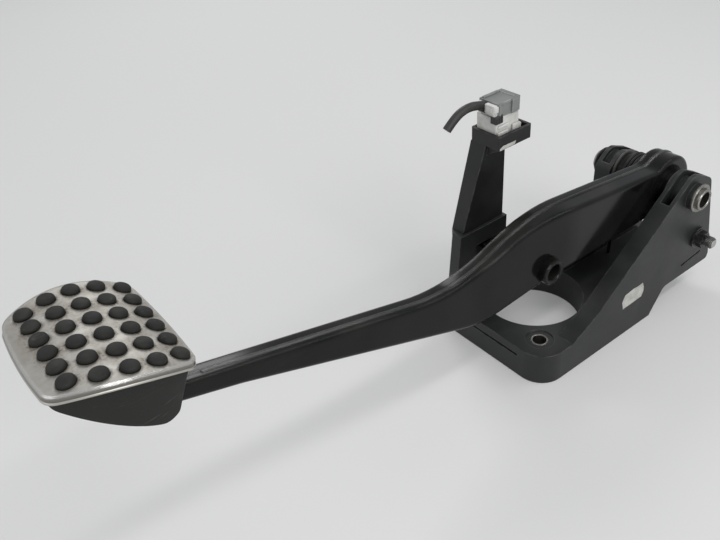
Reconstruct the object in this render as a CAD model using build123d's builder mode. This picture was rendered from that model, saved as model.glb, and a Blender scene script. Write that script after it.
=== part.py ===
from build123d import *
from math import cos, pi, radians, sin, tan
import os

# Brake pedal module of a car: a moulded bracket that bolts to the bulkhead round the servo's neck,
# a pressed steel arm hung on a hollow pivot tube, a rubber pad under a stainless cover, and a tower
# that holds the brake light switch.
# Millimetres. The origin is the centre of the servo opening on the bulkhead face. +X runs from the
# pad to the pivot, +Y from the near cheek to the far side, +Z out of the bulkhead.

os.makedirs("parts", exist_ok=True)

# Bracket base
servo_bore_r = 32.8
base_height = 21.7
base_front = 46.0
base_rear = 60.0
base_half_width = 50.6
base_corner_r = 16.0
moulding_wall = 2.8
front_groove_height = 1.6
front_groove_depth = 1.5
front_groove_length = 42.0
front_groove_z = 15.2

# Studs of the servo and the steel sleeves in the base
stud_x = 30.6
stud_y = 33.6
stud_hole_r = 4.25
sleeve_r = 5.2
sleeve_proud = 0.3
sleeve_seat_r = 8.6
sleeve_seat_depth = 0.8

# Cheeks and ears
cheek_width = 11.6
cheek_gap = 41.0
cheek_foot_x = -20.0
cheek_bend_x = 1.8
cheek_bend_z = 33.0
cheek_bend_r = 60.0
ear_top = 16.2
ear_left = 2.4
ear_right = 17.5
ear_corner_r = 9.0
ear_slope = 10.0
far_ear_front = 15.0
far_ear_left = 3.0
far_ear_drop = 2.0
far_ear_shoulder = 4.5
far_ear_foot = 13.5
far_leg_height = 26.0
cantilever_reach = 35.0
cantilever_z = 17.7
floor_reach = 29.0
step_x = 72.3
ear_pocket_start = 22.0
far_pocket_start = 12.0
ear_pocket_end = 14.0
ear_pocket_depth = 15.5
boss_r = 10.0
boss_height = 3.2
face_slot_length = 22.0
face_slot_height = 1.8
face_slot_depth = 1.2

# Pivot
pivot_x = 87.0
pivot_z = 81.5
pivot_tube_r = 7.0
pivot_tube_bore_r = 5.2
pivot_tube_proud = 7.6
running_clearance = 0.05
retainer_r = 9.4
retainer_thickness = 2.0
hub_tube_r = 11.5
hub_tube_bore_r = 9.0
bush_length = 12.0
bush_flange_r = 13.0
bush_flange = 1.5
side_play = 0.3
seat_clearance = 0.02

# Arm, two pressed halves that meet on the seam
arm_seam_y = -21.7
arm_far_depth = 6.8
arm_near_depth = 5.3
hub_near_depth = 11.8
arm_sheet = 2.5
arm_edge_r = 2.4
hub_r = 20.0
hub_blend_r = 12.0
seam_lip = 0.7
seam_lip_width = 1.4
valley_x = -92.6
crest_x = -32.7
crest_z = 108.3
valley_r = 95.0
crest_r = 105.0
neck_x = 80.0
neck_top_z = 96.5
neck_bottom_z = 66.0
belly_x = -75.0
belly_z = 53.6
belly_r = 45.0
heel_x = -20.0
heel_z = 64.4
pad_end_bottom_x = -222.0
pad_end_bottom_z = 104.6
pad_end_r = 50.0
bulge_start_x = -78.0
bulge_end_x = -8.0
bulge_r = 110.0

# Servo rod sleeve through the arm
rod_sleeve_x = -26.0
rod_sleeve_z = 71.5
rod_sleeve_r = 8.0
rod_sleeve_bore_r = 5.1
rod_sleeve_length = 22.0

# Pad, in the pad's own plane: length along the arm, width across it, height along its normal
pad_x = -266.5
pad_y = -1.9
pad_z = 148.4
pad_tilt = 13.3
pad_dome_r = 78.0
pad_back = 30.0
pad_front = 27.0
pad_half_width = 39.0
pad_back_half_width = 28.0
pad_front_half_width = 33.8
pad_widest = 4.0
pad_end_bow = 1.6
pad_back_corner_r = 9.0
pad_front_corner_r = 7.0
cover_sheet = 0.9
cover_rim = 3.4
cover_edge_r = 0.8
cover_gap = 0.1
rubber_taper = 7.0
rubber_base_slope = 24.0
rubber_base_depth = 26.0
skirt_front_r = 9.0
skirt_back_r = 5.0
skirt_over = 0.2
stud_columns = 5
stud_rows = 6
stud_pitch = 10.9
row_pitch = 12.9
stud_r = 3.8
stud_rise = 2.2
stud_shoulder = 0.8
stud_taper = 40.0
stud_gap = 0.25
plate_depth = 8.0
plate_thickness = 3.0
plate_length = 42.0
plate_width = 58.0
plate_corner_r = 8.0
pocket_gap = 0.2
head_half_length = 12.0
head_depth = 8.0
run_start = 21.0
run_depth = 21.5
tip_bottom_start = 13.5
tip_bottom_depth = 30.5
lip_start = 30.0

# Return spring round the hub
spring_wire_r = 1.1
spring_coil_r = 13.0
spring_pitch = 2.4
spring_turns = 2.75
spring_arm_leg = 40.0
peg_r = 2.5
peg_length = 6.0

# Switch tower: socket on the bracket, column, box, and the switch in it
socket_face_y = 18.5
socket_back_y = 33.0
socket_left = -50.0
socket_top_left = -47.0
socket_right = -7.5
socket_belly_z = 52.0
socket_top = 79.0
socket_wall = 2.2
socket_chamfer = 7.0
socket_room_inset = 1.5
column_foot_z = 68.0
box_left = -29.0
box_right = -2.6
box_near_y = 6.5
box_far_y = 29.0
box_floor_z = 135.0
box_top_z = 143.4
box_wall = 1.6
gusset_drop = 8.0
gusset_inset = 1.5
column_shoulder = 2.4
column_top_near_y = 17.0
column_top_right = -13.0
tower_fit = 0.2
box_corner_r = 1.2
plunger_x = -23.5
plunger_y = 23.6
plunger_r = 1.7
plunger_hole_gap = 0.3
plunger_collar_r = 2.1
plunger_collar = 1.5
plunger_collar_z = 144.5
plunger_guide = 2.0
plunger_tip_gap = 0.3
switch_floor = 2.0
switch_top_z = 153.0
switch_left = -27.2
switch_right = -9.0
switch_near_y = 10.7
switch_far_y = 26.6
switch_bore_top = 151.5
switch_bore_gap = 0.2
plunger_wire_r = 0.25
plunger_coil_r = 1.6
plunger_coil_turns = 4.0
connector_height = 8.6
connector_inset = 0.5
connector_near_y = 10.9
connector_far_y = 24.5
connector_lip = 1.4
connector_lip_over = 0.4
lock_reach = 2.9
lock_near_y = 10.9
lock_far_y = 23.6
lock_rise = 1.6
lock_height = 6.2
tab_top_z = 65.0
tab_thickness = 3.5
tab_width = 7.0
tab_sheet = 3.0
tab_foot_left = -16.0
tab_foot_right = 2.0
tab_foot_top = 80.0
tab_end_y = 26.6
tab_window_left = -34.0
tab_window_bottom = 31.0

# Cable stub, cut off short: its route from inside the plug's face, and its thickness
cable_r = 2.5
cable_gap = 0.3
cable_route = [
    (-26.6, 19.6, 158.2),
    (-34.2, 19.6, 161.0),
    (-42.4, 19.9, 161.4),
    (-49.9, 20.4, 158.4),
    (-55.5, 20.9, 152.7),
]

# Side bolt on the near cheek
bolt_x = 101.5
bolt_z = 44.2
bolt_r = 3.0
bolt_flange_r = 7.2
bolt_flange = 1.6
bolt_hex = 10.0
bolt_hex_height = 4.6
bolt_stud_r = 3.4
bolt_stud = 6.4
nut_height = 4.6

# Places that follow from the sizes above
near_outer_y = -base_half_width
near_inner_y = near_outer_y + cheek_width
far_inner_y = near_inner_y + cheek_gap
far_outer_y = far_inner_y + cheek_width
far_leg_x = servo_bore_r + 1.0
arm_far_y = arm_seam_y + arm_far_depth
arm_near_y = arm_seam_y - arm_near_depth
hub_near_y = arm_seam_y - hub_near_depth
bush_near_y = near_inner_y + side_play + bush_flange
bush_far_y = far_inner_y - side_play - bush_flange
room_x = (socket_right + socket_top_left) / 2
room_y = (socket_face_y + socket_back_y) / 2
room_length = socket_right - socket_top_left - 2 * (socket_wall + socket_room_inset)
room_width = socket_back_y - socket_face_y - 2 * socket_wall
box_room_z = box_floor_z + switch_floor
tab_bottom_z = tab_top_z - tab_thickness

pad_plane = Plane(
    origin=(pad_x, pad_y, pad_z),
    x_dir=(cos(radians(pad_tilt)), 0, -sin(radians(pad_tilt))),
    z_dir=(sin(radians(pad_tilt)), 0, cos(radians(pad_tilt))),
)
plate_bottom = plate_depth + plate_thickness


def pad_to_side(along, height):
    """Side-view place (x, z) of a point in the pad's plane."""
    point = pad_plane.from_local_coords(Vector(along, 0, height))
    return (point.X, point.Z)


def side_plane(y):
    """Plane at a given y that shows the side view: local x is X, local y is Z."""
    return Plane.XZ.offset(-y)


# Outline shared by both cheeks, from the top of the ear down to the base
ear_outline = [
    (pivot_x - ear_left, pivot_z + ear_top),
    (pivot_x + ear_right, pivot_z + ear_top - ear_slope),
    (pivot_x + cantilever_reach, base_height),
    (pivot_x + cantilever_reach - 1.0, cantilever_z),
    (step_x, cantilever_z),
    (base_rear, 0),
]
ear_radii = [ear_corner_r, ear_corner_r, 3.0, 2.0, 6.0, 0]
near_outline = [(cheek_foot_x, 0), (cheek_foot_x, base_height), (cheek_bend_x, cheek_bend_z)] + ear_outline
far_outline = [
    (far_leg_x, 0),
    (far_leg_x, base_height + far_leg_height),
    (pivot_x - far_ear_front, pivot_z - far_ear_foot),
    (pivot_x - far_ear_front, pivot_z + far_ear_shoulder),
    (pivot_x - far_ear_left, pivot_z + ear_top - far_ear_drop),
] + ear_outline[1:]
pocket_width = cheek_width - 2 * moulding_wall
core_top = pivot_z - ear_pocket_depth - 2 * moulding_wall
ear_lean = (cantilever_reach - ear_right) / (pivot_z + ear_top - ear_slope - base_height)
core_right = pivot_x + ear_right + ear_lean * (pivot_z + ear_top - ear_slope - core_top) - 4.0

# The bracket: one black moulding
with BuildPart() as pedal_bracket:
    base_length = base_front + base_rear
    base_centre_x = (base_rear - base_front) / 2
    with BuildSketch() as base_plan:
        with Locations((base_centre_x, 0)):
            Rectangle(base_length, 2 * base_half_width)
        fillet(base_plan.vertices().group_by(Axis.X)[0], base_corner_r)
    extrude(amount=base_height)
    # the near cheek runs the whole length, the far one stands behind the servo opening
    with BuildSketch(side_plane(near_inner_y)):
        with BuildLine():
            FilletPolyline(*near_outline, radius=[0, 2.0, cheek_bend_r] + ear_radii, close=True)
        make_face()
    extrude(amount=cheek_width)
    with BuildSketch(side_plane(far_outer_y)):
        with BuildLine():
            FilletPolyline(*far_outline, radius=[0, 6.0, 8.0, 6.0] + ear_radii, close=True)
        make_face()
    extrude(amount=cheek_width)
    # floor that ties the cheeks behind the base
    with Locations((base_rear, (near_inner_y + far_inner_y) / 2, base_height)):
        Box(
            pivot_x + floor_reach - base_rear,
            cheek_gap,
            base_height - cantilever_z,
            align=(Align.MIN, Align.CENTER, Align.MAX),
        )
    # tower socket, thicker at its foot, hollow, with a window for the arm's tab
    with BuildSketch(side_plane(socket_back_y)):
        with BuildLine():
            Polyline(
                (-base_front, 0),
                (-base_front, base_height),
                (socket_left, socket_belly_z),
                (socket_top_left, socket_top),
                (socket_right, socket_top),
                (socket_right, 0),
                close=True,
            )
        make_face()
    extrude(amount=socket_back_y - socket_face_y)
    back_left = pedal_bracket.edges().filter_by_position(Axis.Y, socket_back_y - 0.01, socket_back_y + 0.01)
    chamfer(
        back_left.filter_by_position(Axis.X, socket_left, socket_top_left).filter_by_position(
            Axis.Z, socket_belly_z - 0.01, socket_top
        ).filter_by(lambda edge: edge.length > socket_chamfer),
        socket_chamfer,
    )
    with Locations((room_x, room_y, base_height)):
        Box(
            room_length,
            room_width,
            socket_top,
            align=(Align.CENTER, Align.CENTER, Align.MIN),
            mode=Mode.SUBTRACT,
        )
    with Locations((tab_window_left, socket_face_y, tab_window_bottom)):
        Box(
            socket_right - socket_wall - socket_room_inset - tab_window_left,
            2 * socket_wall,
            tab_top_z + 2.5 - tab_window_bottom,
            align=(Align.MIN, Align.CENTER, Align.MIN),
            mode=Mode.SUBTRACT,
        )
    # bosses outside the cheeks for the pivot tube
    for face_y, outward in ((near_outer_y, boss_height), (far_outer_y, -boss_height)):
        with BuildSketch(side_plane(face_y)):
            with Locations((pivot_x, pivot_z)):
                Circle(boss_r - 1.4)
        extrude(amount=outward)
    # pocket at the top of each ear, round the pivot boss, and a core from below
    for pocket_y, pocket_start in (
        (near_inner_y - moulding_wall, ear_pocket_start),
        (far_outer_y - moulding_wall, far_pocket_start),
    ):
        with BuildSketch(side_plane(pocket_y)):
            with BuildLine():
                FilletPolyline(
                    (pivot_x - pocket_start, pivot_z + 2 * ear_top),
                    (pivot_x - pocket_start, pivot_z - ear_pocket_depth),
                    (pivot_x + ear_pocket_end, pivot_z - ear_pocket_depth),
                    (pivot_x + ear_pocket_end, pivot_z + 2 * ear_top),
                    radius=[2.0, 2.0],
                )
                Line(
                    (pivot_x + ear_pocket_end, pivot_z + 2 * ear_top),
                    (pivot_x - pocket_start, pivot_z + 2 * ear_top),
                )
            make_face()
            with Locations((pivot_x, pivot_z)):
                Circle(boss_r, mode=Mode.SUBTRACT)
        extrude(amount=pocket_width, mode=Mode.SUBTRACT)
        with BuildSketch(side_plane(pocket_y)):
            with BuildLine():
                Polyline(
                    (step_x + moulding_wall, 0),
                    (step_x + moulding_wall, core_top),
                    (core_right, core_top),
                    (core_right + core_top * ear_lean, 0),
                    close=True,
                )
            make_face()
        extrude(amount=pocket_width, mode=Mode.SUBTRACT)
    # servo opening, stud holes with their seats, and the pivot bores
    with BuildSketch():
        Circle(servo_bore_r)
    extrude(amount=base_height, mode=Mode.SUBTRACT)
    with Locations((-stud_x, -stud_y, base_height), (stud_x, stud_y, base_height)):
        CounterBoreHole(sleeve_r + seat_clearance, sleeve_seat_r, sleeve_seat_depth, depth=base_height)
    with BuildSketch(side_plane(far_outer_y + boss_height)):
        with Locations((pivot_x, pivot_z)):
            Circle(pivot_tube_r + seat_clearance)
    extrude(amount=cheek_gap + 2 * (cheek_width + boss_height), mode=Mode.SUBTRACT)
    # bolt hole, slot in the near face, groove along the front
    with BuildSketch(side_plane(near_outer_y + moulding_wall)):
        with Locations((bolt_x, bolt_z)):
            Circle(bolt_r + 0.1)
    extrude(amount=moulding_wall, mode=Mode.SUBTRACT)
    with BuildSketch(side_plane(near_outer_y + face_slot_depth)):
        with Locations((bolt_x - 2.0, base_height + 5.8)):
            SlotOverall(face_slot_length, face_slot_height, rotation=6)
    extrude(amount=face_slot_depth, mode=Mode.SUBTRACT)
    with Locations((-base_front, -stud_y + 4.0, front_groove_z)):
        Box(
            2 * front_groove_depth,
            front_groove_length,
            front_groove_height,
            align=(Align.CENTER, Align.MIN, Align.CENTER),
            mode=Mode.SUBTRACT,
        )
pedal_bracket.part.label = "pedal_bracket"
export_step(pedal_bracket.part, "parts/pedal_bracket.step")

# Steel sleeves in the base, which take the clamping force of the studs
for name, sign in (("stud_sleeve_front", -1), ("stud_sleeve_rear", 1)):
    with BuildPart() as stud_sleeve:
        with BuildSketch():
            with Locations((sign * stud_x, sign * stud_y)):
                Circle(sleeve_r)
                Circle(stud_hole_r, mode=Mode.SUBTRACT)
        extrude(amount=base_height - sleeve_seat_depth + sleeve_proud)
    stud_sleeve.part.label = name
    export_step(stud_sleeve.part, f"parts/{name}.step")

# Hollow pivot tube through both cheeks, with a ring pressed on each end
with BuildPart() as pivot_tube:
    with BuildSketch(side_plane(far_outer_y + pivot_tube_proud)):
        with Locations((pivot_x, pivot_z)):
            Circle(pivot_tube_r)
            Circle(pivot_tube_bore_r, mode=Mode.SUBTRACT)
    extrude(amount=cheek_gap + 2 * (cheek_width + pivot_tube_proud))
    chamfer(pivot_tube.edges().filter_by(GeomType.CIRCLE), 0.4)
pivot_tube.part.label = "pivot_tube"
export_step(pivot_tube.part, "parts/pivot_tube.step")

for name, ring_y in (
    ("near_retainer", near_outer_y - boss_height),
    ("far_retainer", far_outer_y + boss_height + retainer_thickness),
):
    with BuildPart() as retainer:
        with BuildSketch(side_plane(ring_y)):
            with Locations((pivot_x, pivot_z)):
                Circle(retainer_r)
                Circle(pivot_tube_r + seat_clearance, mode=Mode.SUBTRACT)
        extrude(amount=retainer_thickness)
        chamfer(retainer.edges().filter_by(GeomType.CIRCLE).group_by(SortBy.RADIUS)[-1], 0.5)
    retainer.part.label = name
    export_step(retainer.part, f"parts/{name}.step")

# Hub: a steel tube welded through the arm, with a flanged bush in each end
with BuildPart() as hub_tube:
    with BuildSketch(side_plane(bush_far_y)):
        with Locations((pivot_x, pivot_z)):
            Circle(hub_tube_r)
            Circle(hub_tube_bore_r, mode=Mode.SUBTRACT)
    extrude(amount=bush_far_y - bush_near_y)
hub_tube.part.label = "hub_tube"
export_step(hub_tube.part, "parts/hub_tube.step")

for name, flange_y, inward in (("near_bush", bush_near_y, -1), ("far_bush", bush_far_y, 1)):
    with BuildPart() as bush:
        with BuildSketch(side_plane(flange_y)):
            with Locations((pivot_x, pivot_z)):
                Circle(bush_flange_r)
        extrude(amount=-inward * bush_flange)
        with BuildSketch(side_plane(flange_y)):
            with Locations((pivot_x, pivot_z)):
                Circle(hub_tube_bore_r - seat_clearance)
        extrude(amount=inward * bush_length)
        with BuildSketch(side_plane(flange_y + bush_length)):
            with Locations((pivot_x, pivot_z)):
                Circle(pivot_tube_r + running_clearance)
        extrude(amount=2 * bush_length, mode=Mode.SUBTRACT)
    bush.part.label = name
    export_step(bush.part, f"parts/{name}.step")

# Side view of the arm: it runs level with the pad's plate, dips, rises over a crest and ends at the hub
run_top = pad_to_side(run_start, -run_depth)
valley_z = run_top[1] - tan(radians(pad_tilt)) * (valley_x - run_top[0])
with BuildSketch(mode=Mode.PRIVATE) as arm_side:
    with BuildLine():
        FilletPolyline(
            pad_to_side(-head_half_length, -plate_bottom),
            pad_to_side(head_half_length, -plate_bottom),
            run_top,
            (valley_x, valley_z),
            (crest_x, crest_z),
            (neck_x, neck_top_z),
            (neck_x, neck_bottom_z),
            (heel_x, heel_z),
            (belly_x, belly_z),
            (pad_end_bottom_x, pad_end_bottom_z),
            pad_to_side(tip_bottom_start, -tip_bottom_depth),
            pad_to_side(-head_half_length, -plate_bottom - head_depth),
            radius=[0, 2.0, 0, valley_r, crest_r, 0, 0, 30.0, belly_r, pad_end_r, 8.0, 0],
            close=True,
        )
    make_face()
    with Locations((pivot_x, pivot_z)):
        Circle(hub_r)
    neck_corners = arm_side.vertices().filter_by_position(Axis.X, pivot_x - hub_r, pivot_x)
    fillet(neck_corners, hub_blend_r)

# The near half is shallow along the arm and bulges out to the hub
near_plan = [
    (pad_x - pad_back, arm_near_y),
    (bulge_start_x, arm_near_y),
    (bulge_end_x, hub_near_y),
    (pivot_x + 2 * hub_r, hub_near_y),
]


def near_half_room(inset):
    """Plan of the near half between the seam and its near face, drawn in by the inset."""
    with BuildSketch() as plan:
        with BuildLine():
            FilletPolyline(*[(x, y + inset) for x, y in near_plan], radius=[bulge_r, bulge_r])
            Polyline(
                (near_plan[-1][0], hub_near_y + inset),
                (near_plan[-1][0], arm_seam_y),
                (near_plan[0][0], arm_seam_y),
                (near_plan[0][0], arm_near_y + inset),
            )
        make_face()
    return plan.sketch


arm_side_face = arm_side.sketch
arm_side_room = offset(arm_side_face, amount=-arm_sheet)
arm_side_lip = offset(arm_side_face, amount=seam_lip)
tallest = 3 * pad_z

with BuildPart() as near_room:
    with BuildSketch(side_plane(arm_seam_y)):
        add(arm_side_room)
    extrude(amount=hub_near_depth)
    with BuildSketch():
        add(near_half_room(arm_sheet))
    extrude(amount=tallest, mode=Mode.INTERSECT)

with BuildPart() as arm_near_shell:
    with BuildSketch(side_plane(arm_seam_y)):
        add(arm_side_face)
    extrude(amount=hub_near_depth)
    with BuildSketch():
        add(near_half_room(0))
    extrude(amount=tallest, mode=Mode.INTERSECT)
    outer_face = arm_near_shell.faces().filter_by(
        lambda face: face.normal_at().Y < -0.8 and face.center().Y < arm_near_y + 0.01
    )
    fillet(outer_face.edges().filter_by(lambda edge: edge.length > arm_sheet), arm_edge_r)
    with BuildSketch(side_plane(arm_seam_y)):
        add(arm_side_lip)
        with Locations((pad_to_side(lip_start, 0)[0], pad_z)):
            Rectangle(pad_z, 2 * pad_z, align=(Align.MAX, Align.CENTER), mode=Mode.SUBTRACT)
    extrude(amount=seam_lip_width)
    add(near_room.part, mode=Mode.SUBTRACT)
    with BuildSketch(side_plane(arm_seam_y)):
        with Locations((pivot_x, pivot_z)):
            Circle(hub_tube_r + seat_clearance)
        with Locations((rod_sleeve_x, rod_sleeve_z)):
            Circle(rod_sleeve_r + seat_clearance)
    extrude(amount=hub_near_depth, mode=Mode.SUBTRACT)
arm_near_shell.part.label = "arm_near_shell"
export_step(arm_near_shell.part, "parts/arm_near_shell.step")

with BuildPart() as arm_far_shell:
    with BuildSketch(side_plane(arm_far_y)):
        add(arm_side_face)
    extrude(amount=arm_far_depth)
    fillet(arm_far_shell.faces().sort_by(Axis.Y)[-1].edges(), arm_edge_r)
    with BuildSketch(side_plane(arm_far_y - arm_sheet)):
        add(arm_side_room)
    extrude(amount=arm_far_depth - arm_sheet, mode=Mode.SUBTRACT)
    with BuildSketch(side_plane(arm_far_y)):
        with Locations((pivot_x, pivot_z)):
            Circle(hub_tube_r + seat_clearance)
        with Locations((rod_sleeve_x, rod_sleeve_z)):
            Circle(rod_sleeve_r + seat_clearance)
    extrude(amount=arm_far_depth, mode=Mode.SUBTRACT)
arm_far_shell.part.label = "arm_far_shell"
export_step(arm_far_shell.part, "parts/arm_far_shell.step")

# Steel sleeve welded through the arm, which takes the pin of the servo rod
with BuildPart() as pushrod_sleeve:
    with BuildSketch(side_plane(arm_far_y)):
        with Locations((rod_sleeve_x, rod_sleeve_z)):
            Circle(rod_sleeve_r)
            Circle(rod_sleeve_bore_r, mode=Mode.SUBTRACT)
    extrude(amount=rod_sleeve_length)
    chamfer(pushrod_sleeve.edges().filter_by(GeomType.CIRCLE), 0.6)
pushrod_sleeve.part.label = "pushrod_sleeve"
export_step(pushrod_sleeve.part, "parts/pushrod_sleeve.step")


def pad_outline(inset):
    """Outline of the pad drawn in by the inset: bowed sides, slightly bowed ends, rounded corners."""
    back, front = pad_back - inset, pad_front - inset
    half_back, half_front = pad_back_half_width - inset, pad_front_half_width - inset
    with BuildSketch(mode=Mode.PRIVATE) as outline:
        with BuildLine():
            for side in (-1, 1):
                ThreePointArc(
                    (-back, side * half_back),
                    (pad_widest, side * (pad_half_width - inset)),
                    (front, side * half_front),
                )
            ThreePointArc((-back, -half_back), (-back - pad_end_bow, 0), (-back, half_back))
            ThreePointArc((front, -half_front), (front + pad_end_bow, 0), (front, half_front))
        make_face()
        fillet(outline.vertices().group_by(Axis.X)[0], max(pad_back_corner_r - inset, 3.0))
        fillet(outline.vertices().group_by(Axis.X)[-1], max(pad_front_corner_r - inset, 3.0))
    return outline.sketch


pad_face = pad_outline(0)
cover_room_face = pad_outline(cover_sheet)
rubber_inset = cover_sheet + cover_gap
rubber_draw_in = 2 * rubber_base_depth * tan(radians(rubber_taper))
rubber_top_face = pad_outline(rubber_inset)
rubber_low_face = pad_outline(rubber_inset + rubber_draw_in)

# Steel plate on the arm's end, inside the rubber
with BuildPart() as pad_plate:
    with BuildSketch(pad_plane.offset(-plate_bottom)):
        RectangleRounded(plate_length, plate_width, plate_corner_r)
    extrude(amount=plate_thickness)
pad_plate.part.label = "pad_plate"
export_step(pad_plate.part, "parts/pad_plate.step")


def row_spread(column):
    """Pitch of the studs across the pad, which follows the bowed sides."""
    along = (column - (stud_columns - 1) / 2) * stud_pitch
    bow = (pad_half_width - pad_back_half_width) / (pad_back + pad_widest) ** 2
    return row_pitch - bow * (along - pad_widest) ** 2 / (stud_rows / 2 - 0.5)


def stud_places():
    """Planes of the studs, square to the domed face."""
    for column in range(stud_columns):
        angle = (column - (stud_columns - 1) / 2) * stud_pitch / pad_dome_r
        for row in range(stud_rows):
            across = (row - (stud_rows - 1) / 2) * row_spread(column)
            spot = Vector(pad_dome_r * sin(angle), across, pad_dome_r * (cos(angle) - 1))
            yield Plane(
                origin=pad_plane.from_local_coords(spot),
                z_dir=pad_plane.z_dir * cos(angle) + pad_plane.x_dir * sin(angle),
            )


dome_axis = Plane(
    origin=pad_plane.from_local_coords(Vector(0, -3 * pad_half_width, -pad_dome_r)), z_dir=(0, 1, 0)
)
dome_length = 6 * pad_half_width
stud_planes = list(stud_places())

# Side view of the rubber's skirt: tapered ends and a sloping base with rounded corners
skirt_draw = tan(radians(rubber_taper))
skirt_rise = tan(radians(rubber_base_slope))
skirt_front = pad_front + pad_end_bow - rubber_inset + skirt_over
skirt_back = pad_back + pad_end_bow - rubber_inset + skirt_over
skirt_front_low = (skirt_front - skirt_draw * rubber_base_depth) / (1 + skirt_draw * skirt_rise)
skirt_back_low = (skirt_draw * rubber_base_depth - skirt_back) / (1 - skirt_draw * skirt_rise)

# Rubber pad: domed block with a deep skirt that slopes up to its free end, and thirty studs
with BuildPart() as rubber_pad:
    with BuildSketch(pad_plane):
        add(rubber_top_face)
    with BuildSketch(pad_plane.offset(-2 * rubber_base_depth)):
        add(rubber_low_face)
    loft()
    with BuildSketch(dome_axis):
        Circle(pad_dome_r - cover_sheet - cover_gap)
    extrude(amount=dome_length, mode=Mode.INTERSECT)
    with BuildSketch(side_plane(pad_y + 2 * pad_half_width)):
        with BuildLine():
            FilletPolyline(
                pad_to_side(-skirt_back - pad_back * skirt_draw, pad_back),
                pad_to_side(skirt_front + pad_back * skirt_draw, pad_back),
                pad_to_side(skirt_front_low, -rubber_base_depth - skirt_front_low * skirt_rise),
                pad_to_side(skirt_back_low, -rubber_base_depth - skirt_back_low * skirt_rise),
                radius=[0, 0, skirt_front_r, skirt_back_r],
                close=True,
            )
        make_face()
    extrude(amount=4 * pad_half_width, mode=Mode.INTERSECT)
    for place in stud_planes:
        with BuildSketch(place.offset(-cover_sheet - cover_gap - 1.0)):
            Circle(stud_r)
        extrude(amount=cover_sheet + cover_gap + 1.0 + stud_shoulder)
        with BuildSketch(place.offset(stud_shoulder)):
            Circle(stud_r)
        extrude(amount=stud_rise - stud_shoulder, taper=stud_taper)
    with BuildSketch(pad_plane.offset(-plate_bottom - pocket_gap)):
        RectangleRounded(plate_length + 2 * pocket_gap, plate_width + 2 * pocket_gap, plate_corner_r)
    extrude(amount=plate_thickness + 2 * pocket_gap, mode=Mode.SUBTRACT)
    with BuildSketch(side_plane(arm_far_y + pocket_gap)):
        with BuildLine():
            Polyline(
                pad_to_side(-head_half_length - pocket_gap, -plate_bottom),
                pad_to_side(head_half_length + pocket_gap, -plate_bottom),
                pad_to_side(run_start + pocket_gap, -run_depth + pocket_gap),
                pad_to_side(3 * pad_front, -run_depth + pocket_gap),
                pad_to_side(3 * pad_front, -3 * rubber_base_depth),
                pad_to_side(-head_half_length - pocket_gap, -3 * rubber_base_depth),
                close=True,
            )
        make_face()
    extrude(amount=arm_far_depth + arm_near_depth + 2 * pocket_gap, mode=Mode.SUBTRACT)
rubber_pad.part.label = "rubber_pad"
export_step(rubber_pad.part, "parts/rubber_pad.step")

# Stainless cover: domed sheet with a turned-down rim and a hole for each stud
with BuildPart() as cover_room:
    with BuildSketch(pad_plane.offset(pad_half_width)):
        add(cover_room_face)
    extrude(amount=-2 * pad_half_width)
    with BuildSketch(dome_axis):
        Circle(pad_dome_r - cover_sheet)
    extrude(amount=dome_length, mode=Mode.INTERSECT)

with BuildPart() as cover_plate:
    with BuildSketch(pad_plane.offset(pad_half_width)):
        add(pad_face)
    extrude(amount=-2 * pad_half_width)
    with BuildSketch(dome_axis):
        Circle(pad_dome_r)
    extrude(amount=dome_length, mode=Mode.INTERSECT)
    with BuildSketch(dome_axis):
        Circle(pad_dome_r - cover_rim)
    extrude(amount=dome_length, mode=Mode.SUBTRACT)
    fillet(cover_plate.faces().filter_by(GeomType.CYLINDER).sort_by(SortBy.AREA)[-1].edges(), cover_edge_r)
    add(cover_room.part, mode=Mode.SUBTRACT)
    for place in stud_planes:
        with BuildSketch(place.offset(-2 * cover_sheet)):
            Circle(stud_r + stud_gap)
        extrude(amount=4 * cover_sheet, mode=Mode.SUBTRACT)
cover_plate.part.label = "cover_plate"
export_step(cover_plate.part, "parts/cover_plate.step")

# Return spring: a coil round the hub tube, one leg under the arm's peg, the other on the bracket's floor
coil_slope = spring_pitch / (2 * pi * spring_coil_r)
coil_start_y = arm_far_y + side_play + spring_wire_r + spring_arm_leg * coil_slope
coil_frame = Plane((pivot_x, coil_start_y, pivot_z), x_dir=(0, 0, -1), z_dir=(0, 1, 0))
coil = coil_frame.location * Helix(spring_pitch, spring_pitch * spring_turns, spring_coil_r, lefthand=True)
with BuildPart() as return_spring:
    with BuildSketch(Plane(coil @ 0, z_dir=coil % 0)):
        Circle(spring_wire_r)
    sweep(path=coil)
    with BuildSketch(Plane(coil @ 0, z_dir=coil % 0)):
        Circle(spring_wire_r)
    extrude(amount=-spring_arm_leg)
    with BuildSketch(Plane(coil @ 1, z_dir=coil % 1)):
        Circle(spring_wire_r)
    extrude(amount=pivot_z - base_height)
return_spring.part.label = "return_spring"
export_step(return_spring.part, "parts/return_spring.step")

# Peg welded on the arm's far face, which the spring's leg lifts
with BuildPart() as spring_peg:
    with BuildSketch(side_plane(arm_far_y + peg_length)):
        with Locations((pivot_x - spring_arm_leg + 4.0, pivot_z - spring_coil_r + spring_wire_r + peg_r + side_play)):
            Circle(peg_r)
    extrude(amount=peg_length)
    chamfer(spring_peg.faces().sort_by(Axis.Y)[-1].edges(), 0.5)
spring_peg.part.label = "spring_peg"
export_step(spring_peg.part, "parts/spring_peg.step")

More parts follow.
